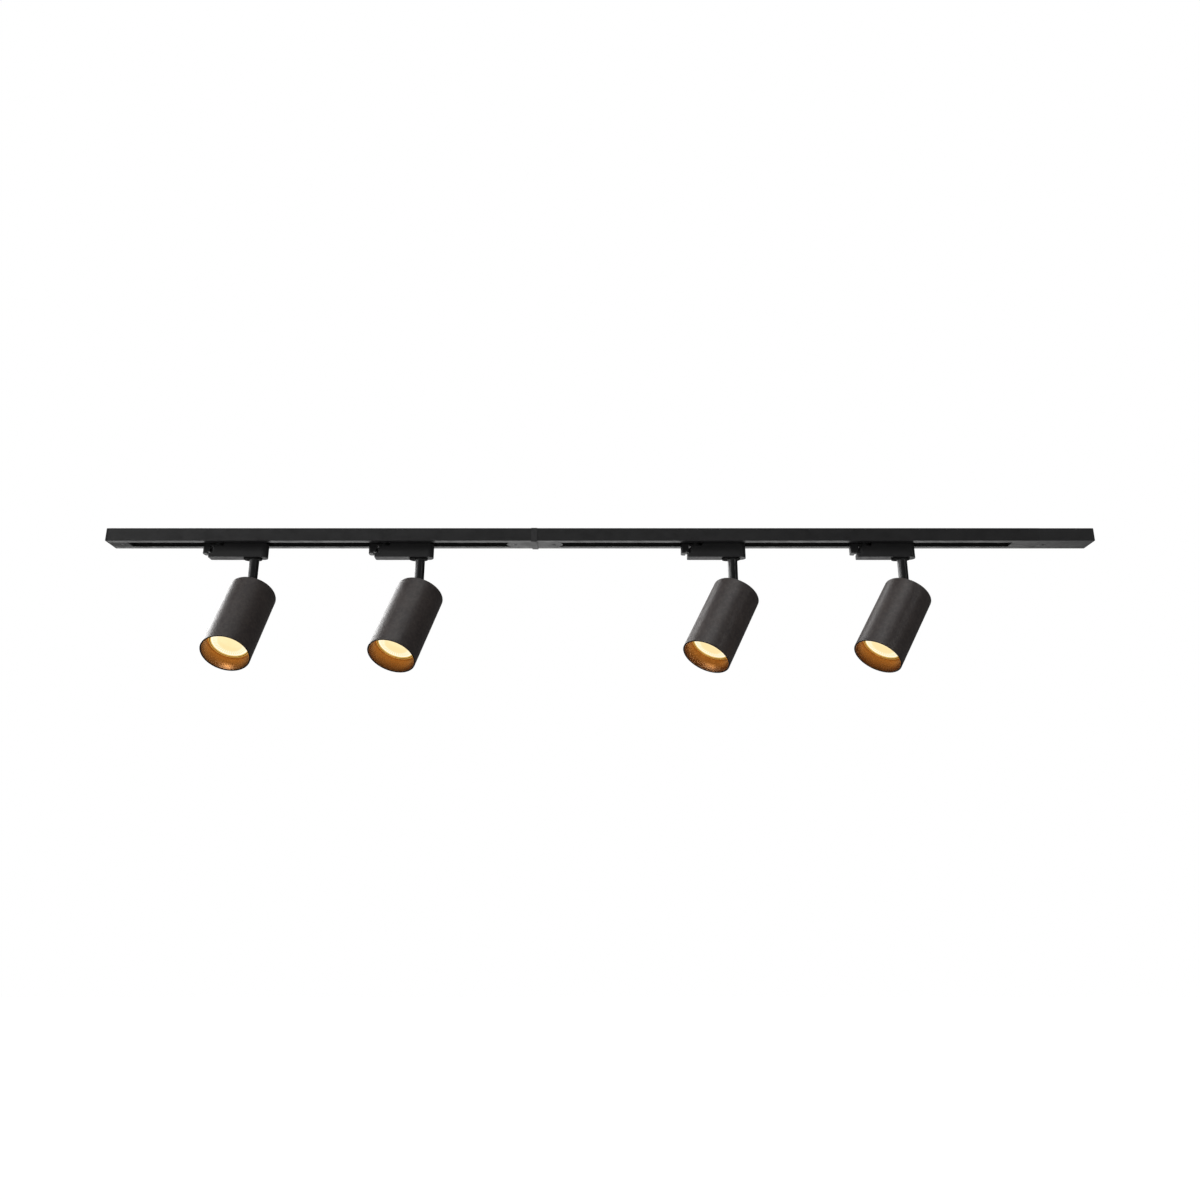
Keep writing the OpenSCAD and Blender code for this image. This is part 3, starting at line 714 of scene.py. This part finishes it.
def baffle(n, place):
    """Ring with a bead beside the lamp and a straight flare to the mouth."""
    lip, outer, edge, back = extent(f"baffle_{n}", place)
    bead = BAFFLE_BEAD
    face = back - BAFFLE_WALL
    flare_r, mouth_r = lip + 2 * bead, outer - 0.25 * MM
    outline = arc((lip + bead, face), bead, 180.0, 345.0, 11)
    for i in range(1, BAFFLE_STEPS):
        t = i / BAFFLE_STEPS
        outline.append((flare_r + (mouth_r - flare_r) * t, face + (edge - face) * t))
    outline += [(mouth_r, edge + 0.1 * MM), (mouth_r + 0.1 * MM, edge), (outer, edge),
                (outer, edge + BAFFLE_SEAT), (flare_r + 1.4 * MM, back), (lip, back)]
    piece = lathe(f"baffle_{n}_shape", outline, MATERIALS["baffle_gold"], place, SHADE_FACETS)
    piece.data.materials.append(MATERIALS["baffle_lip"])
    # painted shade: 0 beside the lamp to 1 at the mouth, which darkens the baffle's colour where the lamp's light
    # falls off
    painted_shade_outwards = piece.data.attributes.new("painted_shade_outwards", "FLOAT", "POINT")
    inward = place.inverted()
    # painted highlight: the bead's faces take the lip material's glow
    for polygon in piece.data.polygons:
        center = inward @ polygon.center
        beside = math.hypot(center.x, center.y) - lip
        if 0.5 * bead < beside < 1.75 * bead and center.z < face + 0.2 * bead:
            polygon.material_index = 1
    for vert, value in zip(piece.data.vertices, painted_shade_outwards.data):
        depth = (face - (inward @ vert.co).z) / (face - edge)
        value.value = max(0.0, min(1.0, depth)) ** 0.8
    settle(piece, f"head_{n}", "baffle_gold", f"baffle_{n}")


def ramp(value, start, width):
    """Goes from 0 to 1 as a value passes from start over a width."""
    return max(0.0, min(1.0, (value - start) / width))


def lens(n, place, radius, face):
    """Shallow dome with a ring of radial prisms, glowing more towards its edge."""
    bm = bmesh.new()
    glow = bm.verts.layers.float.new("glow")
    turns = PRISMS * PRISM_POINTS
    rings = []
    for k in range(LENS_STEPS + 1):
        t = k / LENS_STEPS
        # the prisms fade in and out between 0.62 and 0.97 of the radius
        band = ramp(t, 0.62, 0.06) * max(0.0, min(1.0, (0.97 - t) / 0.04))
        ring = []
        for i in range(turns if k else 1):
            turn = 2 * math.pi * i / turns
            tooth = abs(((i / turns * PRISMS) % 1.0) * 2.0 - 1.0)
            z = face + LENS_RISE * t * t - PRISM_DEPTH * tooth * band + 0.1 * MM
            vert = bm.verts.new((radius * t * math.cos(turn), radius * t * math.sin(turn), z))
            vert[glow] = max(0.30 + 0.12 * t, band * (0.2 + 0.8 * tooth), ramp(t, 0.90, 0.03))
            ring.append(vert)
        rings.append(ring)
    back = []
    for i in range(turns):
        turn = 2 * math.pi * i / turns
        vert = bm.verts.new((radius * math.cos(turn), radius * math.sin(turn), face + LENS_BACK))
        vert[glow] = 0.2
        back.append(vert)
    rings.append(back)
    for i in range(turns):
        bm.faces.new((rings[0][0], rings[1][(i + 1) % turns], rings[1][i]))
    for inner, outer in zip(rings[1:], rings[2:]):
        for i in range(turns):
            j = (i + 1) % turns
            bm.faces.new((inner[i], inner[j], outer[j], outer[i]))
    bm.faces.new(back)
    bmesh.ops.transform(bm, matrix=place, verts=bm.verts)
    return finish_mesh(f"lamp_lens_{n}", bm, MATERIALS["lamp_lens"], LENS_SMOOTH_BELOW)


def lamp_shell_outline(radius, face, lens_r):
    """The reflector lamp's body, from the seat of its lens round to its base."""
    seat_r, shoulder_r = lens_r + 0.1 * MM, radius - 1.6 * MM
    outline = [(0.0, face + 2.4 * MM), (seat_r, face + 2.4 * MM), (seat_r, face + 1.1 * MM),
               (radius - 0.2 * MM, face + 1.1 * MM), (radius, face + 1.3 * MM),
               (radius, face + 5.6 * MM), (radius - 0.4 * MM, face + 6.0 * MM)]
    for i in range(REFLECTOR_STEPS + 1):
        t = i / REFLECTOR_STEPS
        swell = math.sin(math.pi * t) * 1.6 * MM
        outline.append((shoulder_r + (LAMP_NECK_R - shoulder_r) * t + swell,
                        face + REFLECTOR_START + (REFLECTOR_END - REFLECTOR_START) * t))
    base = face + LAMP_BODY
    outline += [(LAMP_NECK_R, base - 1.0 * MM), (LAMP_NECK_R - 1.0 * MM, base), (0.0, base)]
    return outline


def lamp(n, place):
    """Reflector lamp: its shell, the rim of its lens, the lens, and two pins."""
    _, radius, face, top = extent(f"lamp_{n}", place)
    lens_r = radius - 1.2 * MM
    outline = lamp_shell_outline(radius, face, lens_r)
    shell = lathe(f"lamp_shell_{n}", outline, MATERIALS["lamp_glass"], place, LAMP_FACETS, closed=False)
    settle(shell, f"head_{n}", "lamp_glass", f"lamp_{n}")
    ring = arc((lens_r + 0.35 * MM, face + 0.25 * MM), 0.3 * MM, 180.0, 270.0, 4)
    ring += arc((radius - 0.35 * MM, face + 0.3 * MM), 0.35 * MM, 270.0, 360.0, 5)
    ring += [(radius, face + 1.0 * MM), (lens_r, face + 1.0 * MM)]
    rim = lathe(f"lamp_rim_{n}", ring, MATERIALS["lamp_rim"], place, LAMP_FACETS)
    settle(rim, f"head_{n}", "lamp_glass")
    front = lens(n, place, lens_r, face)
    settle(front, f"head_{n}", "lamp_glass")
    # the discs of lamp_light() light the baffle in place of these two
    for part in (front, rim):
        part.visible_glossy = False
        part.visible_diffuse = False
    pin_base = face + LAMP_BODY - 0.5 * MM
    pin = [(0.0, pin_base), (1.5 * MM, pin_base), (1.5 * MM, top - 1.9 * MM),
           (2.2 * MM, top - 1.8 * MM), (2.35 * MM, top - 1.6 * MM), (2.35 * MM, top - 0.2 * MM),
           (2.15 * MM, top), (0.0, top)]
    for side, word in ((-1, "left"), (1, "right")):
        shift = place @ Matrix.Translation((0.0, side * PIN_HALF_SPAN, 0.0))
        piece = lathe(f"lamp_pin_{n}_{word}", pin, MATERIALS["pivot_steel"], shift, PIN_FACETS,
                      closed=False)
        settle(piece, f"head_{n}", "pivot_steel")


def lamp_light(n, name, place, face, radius, power, color, beam, aside=(0.0, 0.0)):
    """Part of the lit lamp's light on the baffle: a disc just in front of the lens."""
    data = bpy.data.lights.new(f"{name}_{n}", "AREA")
    data.shape = "DISK"
    data.size = 2 * radius
    data.energy = power
    data.color = color
    data.spread = math.radians(beam)
    light = linked(f"{name}_{n}", data)
    light.matrix_world = place @ Matrix.Translation((*aside, face - CLEARANCE))
    light.visible_camera = False
    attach(light, f"head_{n}")


def stem(n):
    """Turned tube with a small flare under its shoulder and a ball at its lower end."""
    pivot = Vector(JOINTS[f"tilt_{n}"]["pos_m"])
    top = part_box(f"swivel_stem_{n}")[1].z
    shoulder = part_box(f"stem_flange_{n}")[0].z - CLEARANCE
    radius, duct, spigot, head_r = STEM_R, STEM_DUCT_R, STEM_SPIGOT_R, STEM_HEAD_R
    under_head = top - STEM_HEAD_T
    start = -90.0 + math.degrees(math.asin(duct / radius))
    outline = arc((0.0, pivot.z), radius, start, 0.0, 14)
    outline += [(radius, shoulder - 3.2 * MM)]
    outline += arc((radius + STEM_FLARE_R, shoulder - 1.3 * MM), STEM_FLARE_R, 180.0, 125.0, 5)
    outline += [(radius + 0.6 * MM, shoulder - 0.2 * MM), (radius + 0.5 * MM, shoulder),
                (spigot, shoulder), (spigot, under_head), (head_r - 0.2 * MM, under_head),
                (head_r, under_head + 0.2 * MM), (head_r, top - 0.3 * MM), (head_r - 0.3 * MM, top),
                (duct, top)]
    place = Matrix.Translation((pivot.x, pivot.y, 0.0))
    piece = lathe(f"swivel_stem_{n}_shape", outline, MATERIALS["stem_black"], place, STEM_FACETS)
    settle(piece, f"swivel_{n}", "stem_black", f"swivel_stem_{n}")


def lever_boss(n):
    """Round end of the adapter's body about the lever's axis, just clear of the thumb tab."""
    pivot = Vector(JOINTS[f"lock_{n}"]["pos_m"])
    lever = [vert.co for vert in NODES[f"lock_lever_{n}"].data.vertices]
    tab_face = max(co.x for co in lever if co.x < pivot.x - LEVER_HUB)
    body = [vert.co for vert in NODES[f"adapter_body_{n}"].data.vertices]
    ledge_top = max(co.z for co in body if co.x < tab_face)
    end_face = min(co.x for co in body if co.z > ledge_top + MM)
    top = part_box(f"adapter_body_{n}")[1].z - BOSS_BELOW_TOP
    radius = pivot.x - tab_face - CLEARANCE
    half_turn = math.degrees(math.acos((pivot.x - end_face - MM) / radius))
    outline = arc((pivot.x, pivot.y), radius, 180.0 - half_turn, 180.0 + half_turn, 12)
    bm, caps = extruded([(x, y, ledge_top - MM) for x, y in outline], [(x, y, top) for x, y in outline])
    bevel_edges(bm, list(caps[1].edges), 0.3 * MM)
    piece = finish_mesh(f"lever_boss_{n}", bm, MATERIALS["adapter_plastic"])
    settle(piece, f"carriage_{n}", "adapter_plastic")


def adapter(n):
    lever_boss(n)
    refined(f"adapter_body_{n}", "adapter_plastic", 0.35 * MM, "adapter_plastic", f"carriage_{n}")
    refined(f"adapter_neck_{n}", "adapter_plastic", 0.25 * MM, "adapter_plastic", f"carriage_{n}")
    refined(f"stem_flange_{n}", "flange_coat", 0.35 * MM, "lever_plastic", f"carriage_{n}")
    refined(f"lock_lever_{n}", "lever_plastic", 0.4 * MM, "lever_plastic", f"lever_{n}")
    dress(f"contacts_{n}", "contact_brass")


def head(n):
    place = head_frame(n)
    shade(n, place)
    baffle(n, place)
    lamp(n, place)
    refined(f"rear_cap_{n}", "cap_black", 0.3 * MM, "cap_black", f"head_{n}")
    refined(f"pivot_screw_{n}", "pivot_steel", 0.2 * MM, "pivot_steel", f"swivel_{n}")
    refined(f"lamp_holder_{n}", "ceramic", 0.6 * MM, "ceramic", f"head_{n}")
    stem(n)
    adapter(n)
    _, radius, face, _ = extent(f"lamp_{n}", place)
    lamp_light(n, "lamp_glow", place, face, radius - 0.6 * MM, 0.0036, (1.0, 0.76, 0.32), 170.0)
    lamp_light(n, "lamp_core", place, face, 7.0 * MM, 0.0085, (0.92, 0.95, 1.0), 150.0,
               aside=(6.0 * MM, -8.0 * MM))


# ------------------------------------------------------------------ build

bpy.context.scene.view_settings.view_transform = "Standard"
MATERIALS = make_materials()
add_camera()
add_surroundings()
for soft_box in SOFT_BOXES:
    add_soft_box(*soft_box)
add_floor()
rail_system()
for number in HEADS:
    head(number)
